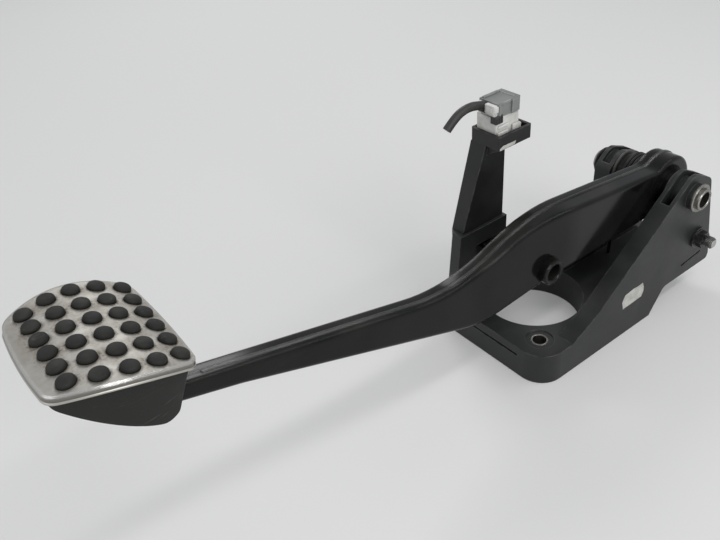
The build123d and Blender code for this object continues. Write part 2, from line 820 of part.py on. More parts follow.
# Tab welded on the arm's far face: a foot, a strip, and a bar that reaches under the plunger
with BuildPart() as switch_tab:
    with Locations((tab_foot_left, arm_far_y, tab_bottom_z)):
        Box(
            tab_foot_right - tab_foot_left,
            tab_sheet,
            tab_foot_top - tab_bottom_z,
            align=(Align.MIN, Align.MIN, Align.MIN),
        )
    with Locations((plunger_x - tab_width / 2, arm_far_y, tab_bottom_z)):
        Box(
            tab_foot_right - plunger_x + tab_width / 2,
            tab_sheet,
            tab_thickness,
            align=(Align.MIN, Align.MIN, Align.MIN),
        )
        Box(
            tab_width,
            tab_end_y - arm_far_y,
            tab_thickness,
            align=(Align.MIN, Align.MIN, Align.MIN),
        )
    tab_end = switch_tab.faces().sort_by(Axis.Y)[-1]
    fillet(tab_end.edges().filter_by(Axis.Z), 2.0)
switch_tab.part.label = "switch_tab"
export_step(switch_tab.part, "parts/switch_tab.step")

# Tower: a column pushed into the bracket's socket, with a box for the switch on top
with BuildPart() as switch_tower:
    with BuildSketch(Plane.XY.offset(socket_top)):
        with Locations((room_x + column_shoulder / 2, room_y)):
            Rectangle(room_length - 2 * tower_fit + column_shoulder, room_width - 2 * tower_fit)
    with BuildSketch(Plane.XY.offset(box_floor_z)):
        with Locations(((box_left + column_top_right) / 2, (column_top_near_y + box_far_y) / 2)):
            Rectangle(column_top_right - box_left, box_far_y - column_top_near_y)
    loft()
    with Locations((room_x, room_y, column_foot_z)):
        Box(
            room_length - 2 * tower_fit,
            room_width - 2 * tower_fit,
            socket_top - column_foot_z,
            align=(Align.CENTER, Align.CENTER, Align.MIN),
        )
    with BuildSketch(Plane.XY.offset(box_floor_z)) as box_plan:
        with Locations(((box_left + box_right) / 2, (box_near_y + box_far_y) / 2)):
            RectangleRounded(box_right - box_left, box_far_y - box_near_y, box_corner_r)
    extrude(amount=box_top_z - box_floor_z)
    # gusset under the box's near side
    with BuildSketch(Plane.YZ.offset(box_left + gusset_inset)):
        with BuildLine():
            Polyline(
                (column_top_near_y + 3.0, box_floor_z - gusset_drop),
                (box_near_y, box_floor_z),
                (column_top_near_y + 3.0, box_floor_z),
                close=True,
            )
        make_face()
    extrude(amount=column_top_right - box_left - gusset_inset)
    with Locations(((box_left + box_right) / 2, (box_near_y + box_far_y) / 2, box_room_z)):
        Box(
            box_right - box_left - 2 * box_wall,
            box_far_y - box_near_y - 2 * box_wall,
            box_top_z,
            align=(Align.CENTER, Align.CENTER, Align.MIN),
            mode=Mode.SUBTRACT,
        )
    with BuildSketch(Plane.XY.offset(column_foot_z)):
        with Locations((plunger_x, plunger_y)):
            Circle(plunger_r + plunger_hole_gap)
    extrude(amount=box_room_z - column_foot_z, mode=Mode.SUBTRACT)
switch_tower.part.label = "switch_tower"
export_step(switch_tower.part, "parts/switch_tower.step")

# Switch: a white housing in the box, bored for its plunger
with BuildPart() as switch_body:
    with BuildSketch(Plane.XY.offset(box_room_z)):
        with Locations(((switch_left + switch_right) / 2, (switch_near_y + switch_far_y) / 2)):
            RectangleRounded(switch_right - switch_left, switch_far_y - switch_near_y, 1.0)
    extrude(amount=switch_top_z - box_room_z)
    chamfer(switch_body.faces().sort_by(Axis.Z)[-1].edges(), 0.6)
    with BuildSketch(Plane.XY.offset(box_room_z)):
        with Locations((plunger_x, plunger_y)):
            Circle(plunger_r + running_clearance)
    extrude(amount=plunger_guide, mode=Mode.SUBTRACT)
    with BuildSketch(Plane.XY.offset(box_room_z + plunger_guide)):
        with Locations((plunger_x, plunger_y)):
            Circle(plunger_collar_r + switch_bore_gap)
    extrude(amount=switch_bore_top - box_room_z - plunger_guide, mode=Mode.SUBTRACT)
switch_body.part.label = "switch_body"
export_step(switch_body.part, "parts/switch_body.step")

# Plunger: a long stem that follows the tab, with a collar under its spring
with BuildPart() as switch_plunger:
    with BuildSketch(Plane.XY.offset(tab_top_z + plunger_tip_gap)):
        with Locations((plunger_x, plunger_y)):
            Circle(plunger_r)
    extrude(amount=plunger_collar_z - tab_top_z - plunger_tip_gap)
    fillet(switch_plunger.faces().sort_by(Axis.Z)[0].edges(), plunger_r / 2)
    with BuildSketch(Plane.XY.offset(plunger_collar_z)):
        with Locations((plunger_x, plunger_y)):
            Circle(plunger_collar_r)
    extrude(amount=plunger_collar)
switch_plunger.part.label = "switch_plunger"
export_step(switch_plunger.part, "parts/switch_plunger.step")

plunger_coil_z = plunger_collar_z + plunger_collar + plunger_wire_r
plunger_coil_height = switch_bore_top - plunger_wire_r - plunger_coil_z
plunger_coil_frame = Plane((plunger_x, plunger_y, plunger_coil_z))
plunger_coil = plunger_coil_frame.location * Helix(
    plunger_coil_height / plunger_coil_turns, plunger_coil_height, plunger_coil_r
)
with BuildPart() as plunger_spring:
    with BuildSketch(Plane(plunger_coil @ 0, z_dir=plunger_coil % 0)):
        Circle(plunger_wire_r)
    sweep(path=plunger_coil)
plunger_spring.part.label = "plunger_spring"
export_step(plunger_spring.part, "parts/plunger_spring.step")

# Plug on the switch, its white lock, and the cut-off cable
connector_top_z = switch_top_z + connector_height
lock_bottom_z = switch_top_z + lock_rise
connector_left = switch_left + connector_inset
connector_right = switch_right - connector_inset
connector_x = (connector_left + connector_right) / 2
connector_y = (connector_near_y + connector_far_y) / 2
with BuildPart() as connector_shell:
    with BuildSketch(Plane.XY.offset(switch_top_z)):
        with Locations((connector_x, connector_y)):
            RectangleRounded(connector_right - connector_left, connector_far_y - connector_near_y, 1.0)
    extrude(amount=connector_top_z - switch_top_z)
    with Locations((connector_left, connector_near_y - connector_lip_over, connector_top_z - connector_lip)):
        Box(
            connector_right - connector_left + connector_lip_over,
            connector_far_y - connector_near_y + 2 * connector_lip_over,
            connector_lip,
            align=(Align.MIN, Align.MIN, Align.MIN),
        )
connector_shell.part.label = "connector_shell"
export_step(connector_shell.part, "parts/connector_shell.step")

with BuildPart() as connector_lock:
    with Locations((connector_left, (lock_near_y + lock_far_y) / 2, lock_bottom_z)):
        Box(
            lock_reach,
            lock_far_y - lock_near_y,
            lock_height,
            align=(Align.MAX, Align.CENTER, Align.MIN),
        )
    chamfer(connector_lock.faces().sort_by(Axis.X)[0].edges(), 0.6)
    cable_start = cable_route[0]
    with Locations((connector_left, cable_start[1], cable_start[2] - cable_r - cable_gap)):
        Box(
            3 * lock_reach,
            2 * (cable_r + cable_gap),
            4 * cable_r,
            align=(Align.CENTER, Align.CENTER, Align.MIN),
            mode=Mode.SUBTRACT,
        )
connector_lock.part.label = "connector_lock"
export_step(connector_lock.part, "parts/connector_lock.step")

cable_runs = [Vector(*end) - Vector(*start) for start, end in zip(cable_route, cable_route[1:])]
cable_bends = [
    0.45 * min(run.length, after.length) / tan(radians(run.get_angle(after) / 2))
    for run, after in zip(cable_runs, cable_runs[1:])
]
print("cable bend radii", [round(bend, 1) for bend in cable_bends])
with BuildPart() as cable_stub:
    with BuildLine() as cable_line:
        FilletPolyline(*cable_route, radius=cable_bends)
    with BuildSketch(Plane(cable_line.line @ 0, z_dir=cable_line.line % 0)):
        Circle(cable_r)
    sweep(path=cable_line.line)
print("cable volume against its section times its length",
      round(cable_stub.part.volume), round(pi * cable_r**2 * sum(edge.length for edge in cable_line.edges())))
cable_stub.part.label = "cable_stub"
export_step(cable_stub.part, "parts/cable_stub.step")

# Flanged bolt on the near cheek, with a stud end outside and a nut inside the cheek
with BuildPart() as side_bolt:
    with BuildSketch(side_plane(near_outer_y)):
        with Locations((bolt_x, bolt_z)):
            Circle(bolt_flange_r)
    extrude(amount=bolt_flange)
    with BuildSketch(side_plane(near_outer_y - bolt_flange)):
        with Locations((bolt_x, bolt_z)):
            RegularPolygon(bolt_hex / 2, 6, major_radius=False)
    extrude(amount=bolt_hex_height)
    with BuildSketch(side_plane(near_outer_y - bolt_flange - bolt_hex_height)):
        with Locations((bolt_x, bolt_z)):
            Circle(bolt_stud_r)
    extrude(amount=bolt_stud)
    chamfer(side_bolt.faces().sort_by(Axis.Y)[0].edges(), 0.8)
    with BuildSketch(side_plane(near_outer_y)):
        with Locations((bolt_x, bolt_z)):
            Circle(bolt_r)
    extrude(amount=-(moulding_wall + nut_height))
side_bolt.part.label = "side_bolt"
export_step(side_bolt.part, "parts/side_bolt.step")

with BuildPart() as side_nut:
    with BuildSketch(side_plane(near_outer_y + moulding_wall)):
        with Locations((bolt_x, bolt_z)):
            RegularPolygon(bolt_hex / 2, 6, major_radius=False)
            Circle(bolt_r + seat_clearance, mode=Mode.SUBTRACT)
    extrude(amount=-nut_height)
side_nut.part.label = "side_nut"
export_step(side_nut.part, "parts/side_nut.step")
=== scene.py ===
import math
import bmesh
import bpy
from mathutils import Matrix, Vector
from mathutils.geometry import convex_hull_2d


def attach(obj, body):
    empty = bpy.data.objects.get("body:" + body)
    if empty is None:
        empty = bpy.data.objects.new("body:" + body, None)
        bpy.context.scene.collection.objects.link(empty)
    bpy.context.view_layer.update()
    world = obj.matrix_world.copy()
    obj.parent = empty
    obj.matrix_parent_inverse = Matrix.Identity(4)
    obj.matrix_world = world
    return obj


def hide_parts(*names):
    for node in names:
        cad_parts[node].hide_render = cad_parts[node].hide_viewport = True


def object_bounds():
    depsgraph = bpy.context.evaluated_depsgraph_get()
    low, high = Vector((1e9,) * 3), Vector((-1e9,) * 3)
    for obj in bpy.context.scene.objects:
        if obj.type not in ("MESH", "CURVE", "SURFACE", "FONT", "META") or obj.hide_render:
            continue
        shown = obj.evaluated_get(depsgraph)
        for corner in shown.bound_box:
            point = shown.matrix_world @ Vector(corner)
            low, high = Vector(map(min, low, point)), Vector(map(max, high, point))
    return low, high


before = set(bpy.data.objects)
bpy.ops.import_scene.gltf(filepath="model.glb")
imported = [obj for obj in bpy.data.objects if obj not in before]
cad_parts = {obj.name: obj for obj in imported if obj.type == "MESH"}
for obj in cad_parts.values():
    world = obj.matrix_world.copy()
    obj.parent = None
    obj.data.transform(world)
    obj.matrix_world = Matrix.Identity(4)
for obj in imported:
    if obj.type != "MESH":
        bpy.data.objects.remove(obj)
cad_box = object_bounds()

# The bracket: one black glass-filled nylon moulding that bolts to the bulkhead round the servo's neck.
# Its skin has a fine spark-eroded grain, paler rubbed edges, and grey dust on what faces up.
BRACKET_BLACK = (0.011, 0.012, 0.0116, 1)
BRACKET_GREY = (0.0195, 0.0212, 0.0203, 1)
BRACKET_RUBBED = (0.09, 0.09, 0.088, 1)
MOULDING_GLOSS = 0.4
WORKSHOP_DUST = (0.15, 0.14, 0.122, 1)
EDGE_SAMPLES = 4


def new_group(name, inputs, outputs, kind="NodeSocketFloat"):
    """A shader node group with float inputs and outputs of one kind, and its two end nodes."""
    group = bpy.data.node_groups.new(name, "ShaderNodeTree")
    for label, value in inputs.items():
        socket = group.interface.new_socket(
            name=label, in_out="INPUT", socket_type="NodeSocketFloat"
        )
        socket.default_value = value
    for label in outputs:
        group.interface.new_socket(name=label, in_out="OUTPUT", socket_type=kind)
    return group, group.nodes.new("NodeGroupInput"), group.nodes.new("NodeGroupOutput")


def add_node(tree, kind, links=(), **settings):
    """A node with settings on its properties and links or values on its inputs."""
    node = tree.nodes.new(kind)
    for key, value in settings.items():
        setattr(node, key, value)
    for socket, source in dict(links).items():
        if isinstance(source, bpy.types.NodeSocket):
            tree.links.new(source, node.inputs[socket])
        else:
            node.inputs[socket].default_value = source
    return node


def calculate(tree, operation, one, other):
    """The result of one operation on two values."""
    return add_node(tree, "ShaderNodeMath", {0: one, 1: other}, operation=operation).outputs[0]


def ramp(tree, source, start, end):
    """A mask that runs from 0 where the source is at start to 1 where it is at end."""
    return add_node(tree, "ShaderNodeMapRange", {0: source, 1: start, 2: end}).outputs[0]


def own_place(tree):
    """The shaded point in the piece's own space."""
    return add_node(tree, "ShaderNodeTexCoord").outputs["Object"]


def noise(tree, place, scale, detail, roughness=0.5):
    """Noise at a place."""
    return add_node(tree, "ShaderNodeTexNoise", {
        "Vector": place, "Scale": scale, "Detail": detail, "Roughness": roughness,
    }).outputs[0]


# Grain: two sizes of noise, one fine for the height of the skin and one broad for blotches
grain, ends_in, ends_out = new_group(
    "moulded grain", {"Fine": 1500.0, "Broad": 45.0}, ["Height", "Blotch"]
)
spot = own_place(grain)
fine = noise(grain, spot, ends_in.outputs["Fine"], 3.0)
broad = noise(grain, spot, ends_in.outputs["Broad"], 5.0)
grain.links.new(fine, ends_out.inputs["Height"])
grain.links.new(ramp(grain, broad, 0.32, 0.68), ends_out.inputs["Blotch"])

# Edge rub: where a rounded normal leaves the true one, broken up by noise
edge_rub, ends_in, ends_out = new_group("edge rub", {"Width": 0.0012, "Break": 160.0}, ["Edge"])
rounded = add_node(
    edge_rub, "ShaderNodeBevel", {"Radius": ends_in.outputs["Width"]}, samples=EDGE_SAMPLES
)
true_normal = add_node(edge_rub, "ShaderNodeNewGeometry").outputs["Normal"]
match = add_node(
    edge_rub, "ShaderNodeVectorMath", {0: rounded.outputs[0], 1: true_normal},
    operation="DOT_PRODUCT",
)
turned = ramp(edge_rub, match.outputs["Value"], 0.985, 0.86)
chips = noise(edge_rub, own_place(edge_rub), ends_in.outputs["Break"], 6.0)
rubbed = calculate(edge_rub, "MULTIPLY", turned, ramp(edge_rub, chips, 0.4, 0.62))
edge_rub.links.new(rubbed, ends_out.inputs["Edge"])

# Soft edge: a normal that turns over every sharp edge, as a real mould or die leaves it
soft_edge, ends_in, ends_out = new_group(
    "soft edge", {"Radius": 0.0006}, ["Normal"], "NodeSocketVector"
)
turned_over = add_node(
    soft_edge, "ShaderNodeBevel", {"Radius": ends_in.outputs["Radius"]}, samples=EDGE_SAMPLES
)
soft_edge.links.new(turned_over.outputs[0], ends_out.inputs["Normal"])

# Settled dust: more on faces that look up, in soft patches
settled, ends_in, ends_out = new_group("settled dust", {"Amount": 0.4, "Patch": 30.0}, ["Dust"])
facing = add_node(settled, "ShaderNodeNewGeometry").outputs["Normal"]
facing_up = add_node(settled, "ShaderNodeSeparateXYZ", {0: facing}).outputs["Z"]
patch = noise(settled, own_place(settled), ends_in.outputs["Patch"], 8.0)
lying = calculate(
    settled, "MULTIPLY", ramp(settled, facing_up, -0.2, 1.0), ramp(settled, patch, 0.42, 0.7)
)
thin = calculate(settled, "MULTIPLY", lying, ends_in.outputs["Amount"])
settled.links.new(thin, ends_out.inputs["Dust"])

# Fine scratches: noise drawn out into thin lines at two slants, where a broad noise lets them
SCRATCH_TILT = 0.35
SCRATCH_RUNS = ((0.5, (1.0, 26.0, 60.0)), (-0.9, (48.0, 14.0, 1.2)))
scratches, ends_in, ends_out = new_group(
    "fine scratches", {"Scale": 30.0, "Amount": 0.5, "Across": 1.0}, ["Lines"]
)
spot = own_place(scratches)
drawn = []
for slant, stretch in SCRATCH_RUNS:
    laid = add_node(scratches, "ShaderNodeMapping", {
        "Vector": spot, "Rotation": (slant, SCRATCH_TILT, slant), "Scale": stretch,
    })
    lines = noise(scratches, laid.outputs[0], ends_in.outputs["Scale"], 4.0, 0.65)
    drawn.append(ramp(scratches, lines, 0.6, 0.78))
crossing = calculate(scratches, "MULTIPLY", drawn[1], ends_in.outputs["Across"])
either = calculate(scratches, "MAXIMUM", drawn[0], crossing)
let_by = ramp(scratches, noise(scratches, spot, 38.0, 3.0), 0.42, 0.62)
there = calculate(scratches, "MULTIPLY", either, let_by)
faint = calculate(scratches, "MULTIPLY", there, ends_in.outputs["Amount"])
scratches.links.new(faint, ends_out.inputs["Lines"])


def new_finish(name, roughness, metallic=0.0):
    """A material with one Principled shader; returns its node tree and the shader."""
    material = bpy.data.materials.new(name)
    material.use_nodes = True
    shader = material.node_tree.nodes["Principled BSDF"]
    shader.inputs["Roughness"].default_value = roughness
    shader.inputs["Metallic"].default_value = metallic
    return material.node_tree, shader


def use_group(tree, group, output, **values):
    """One output of a shared group, placed with its own values."""
    node = tree.nodes.new("ShaderNodeGroup")
    node.node_tree = group
    for label, value in values.items():
        node.inputs[label].default_value = value
    return node.outputs[output]


def over(tree, mask, below, above):
    """Colour or value below, with the one above shown where the mask is."""
    mix = add_node(tree, "ShaderNodeMix", {0: mask, 6: below, 7: above}, data_type="RGBA")
    return mix.outputs[2]


def between(tree, mask, low, high):
    """A value that runs from low to high with the mask."""
    return add_node(tree, "ShaderNodeMapRange", {0: mask, 3: low, 4: high}).outputs[0]


def raise_skin(tree, shader, height, strength, depth, edge=0.0006):
    """Bump over softened edges on the shader's normal."""
    bump = add_node(tree, "ShaderNodeBump", {
        "Height": height, "Strength": strength, "Distance": depth,
        "Normal": use_group(tree, soft_edge, "Normal", Radius=edge),
    })
    tree.links.new(bump.outputs["Normal"], shader.inputs["Normal"])


def material_of(tree):
    """The material that owns a node tree."""
    return next(material for material in bpy.data.materials if material.node_tree == tree)


def dress(tree, *names):
    """Gives CAD nodes the material that owns the node tree."""
    for name in names:
        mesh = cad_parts[name].data
        mesh.materials.clear()
        mesh.materials.append(material_of(tree))


def moulding_finish(name, dark, pale, rubbed_colour, dust, roughness):
    """Grained plastic with rubbed edges and dust; returns its node tree."""
    tree, shader = new_finish(name, roughness)
    shader.inputs["Specular IOR Level"].default_value = MOULDING_GLOSS
    blotch = use_group(tree, grain, "Blotch")
    colour = over(tree, blotch, dark, pale)
    colour = over(tree, use_group(tree, edge_rub, "Edge"), colour, rubbed_colour)
    colour = over(tree, use_group(tree, scratches, "Lines", Amount=0.2), colour, rubbed_colour)
    colour = over(tree, use_group(tree, settled, "Dust", Amount=dust), colour, WORKSHOP_DUST)
    tree.links.new(colour, shader.inputs["Base Color"])
    matt = between(tree, blotch, roughness - 0.07, roughness + 0.09)
    tree.links.new(matt, shader.inputs["Roughness"])
    raise_skin(tree, shader, use_group(tree, grain, "Height"), 0.22, 0.0002)
    return tree


bracket_tree = moulding_finish(
    "black glass-filled nylon", BRACKET_BLACK, BRACKET_GREY, BRACKET_RUBBED, 0.07, 0.46
)
dress(bracket_tree, "pedal_bracket")

# Stud sleeves: turned steel tubes moulded into the base, zinc plated and gone dull.
# They take the clamping force of the servo's studs, so the moulding isn't crushed.
STEEL_PALE = (0.36, 0.35, 0.325, 1)
STEEL_DULL = (0.2, 0.19, 0.17, 1)
STEEL_STAIN = (0.07, 0.06, 0.05, 1)
STEEL_EDGE = (0.68, 0.67, 0.64, 1)
zinc_tree, zinc_shader = new_finish("dull zinc steel", 0.36, 1.0)
blotch = use_group(zinc_tree, grain, "Blotch", Broad=260.0)
stains = use_group(zinc_tree, settled, "Dust", Amount=0.6, Patch=420.0)
edges = use_group(zinc_tree, edge_rub, "Edge", Width=0.0006, Break=500.0)
colour = over(zinc_tree, blotch, STEEL_PALE, STEEL_DULL)
colour = over(zinc_tree, stains, colour, STEEL_STAIN)
colour = over(zinc_tree, edges, colour, STEEL_EDGE)
zinc_tree.links.new(colour, zinc_shader.inputs["Base Color"])
zinc_tree.links.new(between(zinc_tree, blotch, 0.28, 0.46), zinc_shader.inputs["Roughness"])
lines = use_group(zinc_tree, scratches, "Lines", Scale=60.0)
raise_skin(zinc_tree, zinc_shader, lines, 0.2, 0.0001, 0.0003)
dress(zinc_tree, "stud_sleeve_front", "stud_sleeve_rear")

# Switch tower: a second black moulding, pushed into the bracket's socket.
# It is darker and duller than the bracket.
TOWER_BLACK = (0.008, 0.0085, 0.0082, 1)
TOWER_GREY = (0.015, 0.0158, 0.0152, 1)
tower_tree = moulding_finish(
    "dull black nylon", TOWER_BLACK, TOWER_GREY, BRACKET_RUBBED, 0.12, 0.52
)
dress(tower_tree, "switch_tower")

# Switch body: the white housing of the brake light switch, clipped into the tower's box.
# Off-white nylon, greyed by handling, with painted shade in its corners and where it meets its
# neighbours.
SWITCH_WHITE = (0.7, 0.7, 0.68, 1)
SWITCH_SOILED = (0.5, 0.49, 0.46, 1)
SWITCH_CORNER_SHADE = (0.16, 0.15, 0.14, 1)
CORNER_REACH = 0.004
CORNER_SAMPLES = 6
MOST_CORNER_SHADE = 0.75


def openness(tree, reach, samples=8):
    """1 on an open surface, less where something stands within reach."""
    return add_node(
        tree, "ShaderNodeAmbientOcclusion", {"Distance": reach}, samples=samples
    ).outputs["AO"]


white_tree, white_shader = new_finish("off-white nylon", 0.42)
blotch = use_group(white_tree, grain, "Blotch", Broad=150.0)
# Painted shade: dark grey where other surfaces stand within reach
corners = openness(white_tree, CORNER_REACH, CORNER_SAMPLES)
corner_shade = add_node(
    white_tree, "ShaderNodeMapRange", {0: corners, 1: 0.75, 2: 0.2, 4: MOST_CORNER_SHADE}
).outputs[0]
colour = over(white_tree, blotch, SWITCH_WHITE, SWITCH_SOILED)
colour = over(white_tree, corner_shade, colour, SWITCH_CORNER_SHADE)
white_tree.links.new(colour, white_shader.inputs["Base Color"])
white_tree.links.new(between(white_tree, blotch, 0.36, 0.52), white_shader.inputs["Roughness"])
raise_skin(white_tree, white_shader, use_group(white_tree, grain, "Height"), 0.1, 0.0001)
dress(white_tree, "switch_body")

MM = 0.001


def block_piece(name, blocks, rounding, tree):
    """One mesh of rounded blocks on the bracket, each from low to high corner in millimetres."""
    shape = bmesh.new()
    for low, high in blocks:
        low, high = Vector(low) * MM, Vector(high) * MM
        placed = Matrix.Translation((low + high) / 2) @ Matrix.Diagonal((*(high - low), 1))
        cube = bmesh.ops.create_cube(shape, size=1.0, matrix=placed)["verts"]
        sides = list({edge for corner in cube for edge in corner.link_edges})
        bmesh.ops.bevel(
            shape, geom=sides, offset=rounding, segments=2, profile=0.5, affect="EDGES"
        )
    mesh = bpy.data.meshes.new(name)
    shape.to_mesh(mesh)
    shape.free()
    mesh.materials.append(material_of(tree))
    piece = bpy.data.objects.new(name, mesh)
    bpy.context.scene.collection.objects.link(piece)
    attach(piece, "bracket")


# The housing's fixing ledges: a foot on the right, and ribs on the near side with a slot between
SWITCH_LEDGES = [
    ((-9.3, 11.2, 137.1), (-6.3, 26.0, 144.2)),
    ((-26.8, 9.4, 137.1), (-18.6, 11.0, 144.6)),
    ((-15.4, 9.4, 137.1), (-9.2, 11.0, 146.2)),
    ((-26.4, 9.9, 146.6), (-18.0, 11.0, 148.2)),
]
LEDGE_ROUNDING = 0.00035
block_piece("switch_ledges", SWITCH_LEDGES, LEDGE_ROUNDING, white_tree)

# Plunger: the switch's long stem, natural nylon, which rests just over the arm's tab.
# It shares the housing's off-white, and its spring is bare music wire.
SPRING_GREY = (0.32, 0.32, 0.33, 1)
SPRING_OILED = (0.14, 0.13, 0.125, 1)
dress(white_tree, "switch_plunger")
wire_tree, wire_shader = new_finish("oiled spring wire", 0.34, 1.0)
blotch = use_group(wire_tree, grain, "Blotch", Broad=300.0)
colour = over(wire_tree, blotch, SPRING_GREY, SPRING_OILED)
wire_tree.links.new(colour, wire_shader.inputs["Base Color"])
wire_tree.links.new(between(wire_tree, blotch, 0.26, 0.46), wire_shader.inputs["Roughness"])
lines = use_group(wire_tree, scratches, "Lines", Scale=90.0)
raise_skin(wire_tree, wire_shader, lines, 0.15, 0.0001)
dress(wire_tree, "plunger_spring")

# Plug: the grey connector pressed on the switch, glass-filled and slightly glossy.
# Its lock is a white slide across the side where the cable comes in, over a black latch.
PLUG_GREY = (0.16, 0.168, 0.165, 1)
PLUG_PALE = (0.235, 0.243, 0.236, 1)
PLUG_RUBBED = (0.45, 0.46, 0.455, 1)
LATCH_BLACK = (0.012, 0.012, 0.012, 1)
LATCH_GREY = (0.03, 0.03, 0.03, 1)
LOCK_ROUNDING = 0.0004
RIDGE_ROUNDING = 0.0003
PLUG_LOCK = [
    ((-31.0, 9.4, 156.4), (-28.2, 16.7, 161.7)),
    ((-30.6, 9.0, 157.4), (-27.4, 10.4, 160.9)),
    ((-31.4, 10.8, 157.6), (-30.4, 15.6, 160.6)),
]
PLUG_RIDGES = [
    ((-15.9, 9.6, 153.5), (-10.0, 11.2, 161.4)),
    ((-25.6, 10.3, 153.5), (-24.2, 11.2, 160.4)),
    ((-25.4, 22.4, 161.3), (-13.4, 24.0, 162.5)),
    ((-13.2, 12.0, 161.3), (-10.4, 23.0, 162.0)),
]
PLUG_LATCH = [
    ((-28.3, 10.1, 149.6), (-22.6, 14.6, 154.4)),
    ((-27.7, 9.7, 149.9), (-26.7, 10.6, 154.1)),
    ((-25.9, 9.7, 149.9), (-24.9, 10.6, 154.1)),
    ((-24.1, 9.7, 149.9), (-23.1, 10.6, 154.1)),
]
plug_tree = moulding_finish("grey plug nylon", PLUG_GREY, PLUG_PALE, PLUG_RUBBED, 0.1, 0.4)
dress(plug_tree, "connector_shell")
dress(white_tree, "connector_lock")
block_piece("plug_lock", PLUG_LOCK, LOCK_ROUNDING, white_tree)
block_piece("plug_ridges", PLUG_RIDGES, RIDGE_ROUNDING, plug_tree)
latch_tree = moulding_finish(
    "black latch nylon", LATCH_BLACK, LATCH_GREY, BRACKET_RUBBED, 0.1, 0.45
)
block_piece("plug_latch", PLUG_LATCH, RIDGE_ROUNDING, latch_tree)

# Cable: a round jacketed lead that was cut off short when the pedal was taken out.
# It leaves the plug, rises a little and droops to its cut end.
CABLE_DIAMETER = 0.005
CABLE_ROUTE = [
    (-0.0266, 0.0196, 0.1582),
    (-0.0342, 0.0196, 0.1610),
    (-0.0424, 0.0199, 0.1614),
    (-0.0499, 0.0204, 0.1584),
    (-0.0555, 0.0209, 0.1527),
]
JACKET_BLACK = (0.017, 0.017, 0.016, 1)
JACKET_GREY = (0.036, 0.036, 0.033, 1)
jacket_tree, jacket_shader = new_finish("cable jacket", 0.55)
blotch = use_group(jacket_tree, grain, "Blotch", Broad=200.0)
colour = over(jacket_tree, blotch, JACKET_BLACK, JACKET_GREY)
jacket_tree.links.new(colour, jacket_shader.inputs["Base Color"])
jacket_tree.links.new(between(jacket_tree, blotch, 0.46, 0.64), jacket_shader.inputs["Roughness"])
skin = use_group(jacket_tree, grain, "Height", Fine=900.0)
raise_skin(jacket_tree, jacket_shader, skin, 0.3, 0.0002)
cable_curve = bpy.data.curves.new("cable", "CURVE")
cable_curve.dimensions = "3D"
cable_curve.bevel_depth = CABLE_DIAMETER / 2
cable_curve.bevel_resolution = 6
cable_curve.use_fill_caps = True
cable_line = cable_curve.splines.new("NURBS")
cable_line.points.add(len(CABLE_ROUTE) - 1)
for point, place in zip(cable_line.points, CABLE_ROUTE):
    point.co = (*place, 1)
cable_line.order_u = 3
cable_line.use_endpoint_u = True
cable_line.resolution_u = 16
cable = bpy.data.objects.new("cable", cable_curve)
bpy.context.scene.collection.objects.link(cable)
cable_curve.materials.append(material_of(jacket_tree))
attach(cable, "bracket")
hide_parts("cable_stub")

# Arm: two pressed steel halves welded along their seam, dipped in black paint.
# The paint has a slight orange peel and fine scratches; a pale rub on its shoulders is a painted
# highlight.
PAINT_BLACK = (0.0035, 0.0038, 0.0036, 1)
PAINT_GREY = (0.007, 0.0074, 0.007, 1)
PAINT_SCRATCH = (0.035, 0.036, 0.035, 1)
PAINT_EDGE_HIGHLIGHT = (0.2, 0.2, 0.195, 1)
PAINT_GLOSS = 0.13
PAINT_COAT = 0.12
PAINT_COAT_ROUGHNESS = 0.12
paint_tree, paint_shader = new_finish("black dip paint", 0.3)
blotch = use_group(paint_tree, grain, "Blotch", Broad=35.0)
lines = use_group(paint_tree, scratches, "Lines", Scale=22.0, Amount=0.3, Across=0.4)
dust = use_group(paint_tree, settled, "Dust", Amount=0.1)
shoulders = use_group(paint_tree, edge_rub, "Edge", Width=0.0016, Break=9.0)
colour = over(paint_tree, blotch, PAINT_BLACK, PAINT_GREY)
colour = over(paint_tree, lines, colour, PAINT_SCRATCH)
colour = over(paint_tree, dust, colour, WORKSHOP_DUST)
# Painted highlight: pale, partly metallic lines along the shoulders stand in for gloss lines on the
# edges
colour = over(paint_tree, shoulders, colour, PAINT_EDGE_HIGHLIGHT)
paint_tree.links.new(colour, paint_shader.inputs["Base Color"])
paint_tree.links.new(between(paint_tree, shoulders, 0.0, 0.6), paint_shader.inputs["Metallic"])
paint_tree.links.new(between(paint_tree, blotch, 0.09, 0.16), paint_shader.inputs["Roughness"])
paint_shader.inputs["Specular IOR Level"].default_value = PAINT_GLOSS
paint_shader.inputs["Coat Weight"].default_value = PAINT_COAT
paint_shader.inputs["Coat Roughness"].default_value = PAINT_COAT_ROUGHNESS
skin = use_group(paint_tree, grain, "Height", Fine=300.0)
raise_skin(paint_tree, paint_shader, skin, 0.02, 0.0002, 0.0024)
dress(
    paint_tree, "arm_near_shell", "arm_far_shell", "hub_tube", "switch_tab", "spring_peg",
    "pad_plate", "pushrod_sleeve",
)

# Bushes: flanged bearings pressed into the hub tube, dark grey acetal with a little grease.
# Only their flanges show, between the arm's hub and the cheeks.
ACETAL_GREY = (0.05, 0.05, 0.048, 1)
ACETAL_WORN = (0.09, 0.088, 0.082, 1)
bush_tree = moulding_finish("acetal", ACETAL_GREY, ACETAL_WORN, ACETAL_WORN, 0.1, 0.4)
dress(bush_tree, "near_bush", "far_bush")

# Pivot tube: turned steel, zinc plated and dull, with a ring pressed on its near end.
# It runs through both cheeks and the hub.
dress(zinc_tree, "pivot_tube", "near_retainer")
